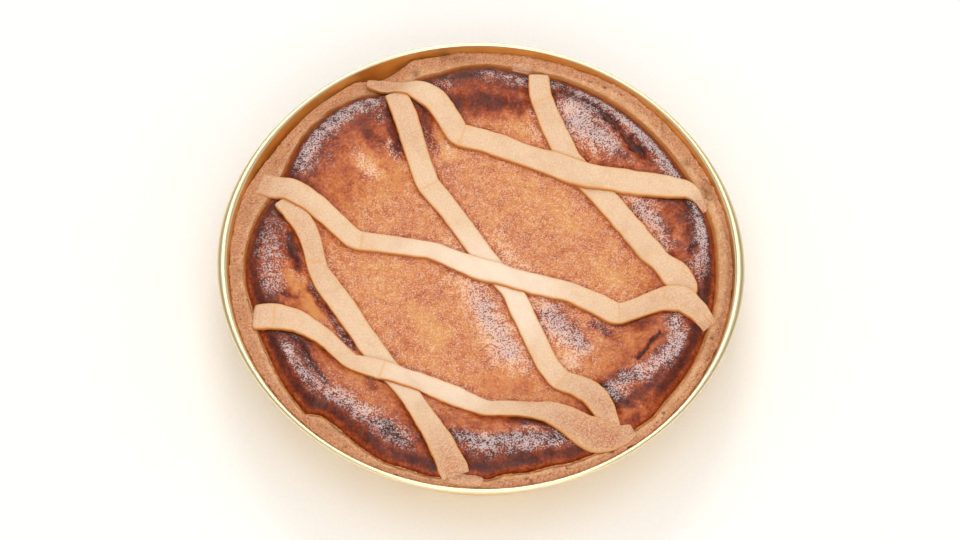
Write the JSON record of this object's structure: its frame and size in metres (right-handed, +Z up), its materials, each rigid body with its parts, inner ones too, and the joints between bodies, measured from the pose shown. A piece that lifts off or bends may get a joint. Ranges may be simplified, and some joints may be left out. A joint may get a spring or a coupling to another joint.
{
  "type": "lattice-topped ricotta pie in a round tin",
  "caption": "Round Neapolitan Easter pie with a sunken browned filling, a pastry case and a loose pastry lattice, in its flared gold baking tin.",
  "frame": {"origin": "centre of the tin's flat underside", "axes": "+Z up along the tin's axis, -Y towards the side that the picture shows nearest, +X to the picture's right"},
  "size_m": [0.2466, 0.242, 0.0432],
  "materials": {
    "tin": "polished",
    "crust": "matte",
    "filling": "satin",
    "lattice": "matte"
  },
  "bodies": {
    "root": {"tin": "tin", "crust": "crust", "filling": "filling", "lattice_under_left": "lattice", "lattice_under_middle": "lattice", "lattice_under_right": "lattice", "lattice_over_front": "lattice", "lattice_over_middle": "lattice", "lattice_over_back": "lattice", "dough_scrap_back": "lattice", "dough_fold_front": "lattice"}
  },
  "joints": []
}
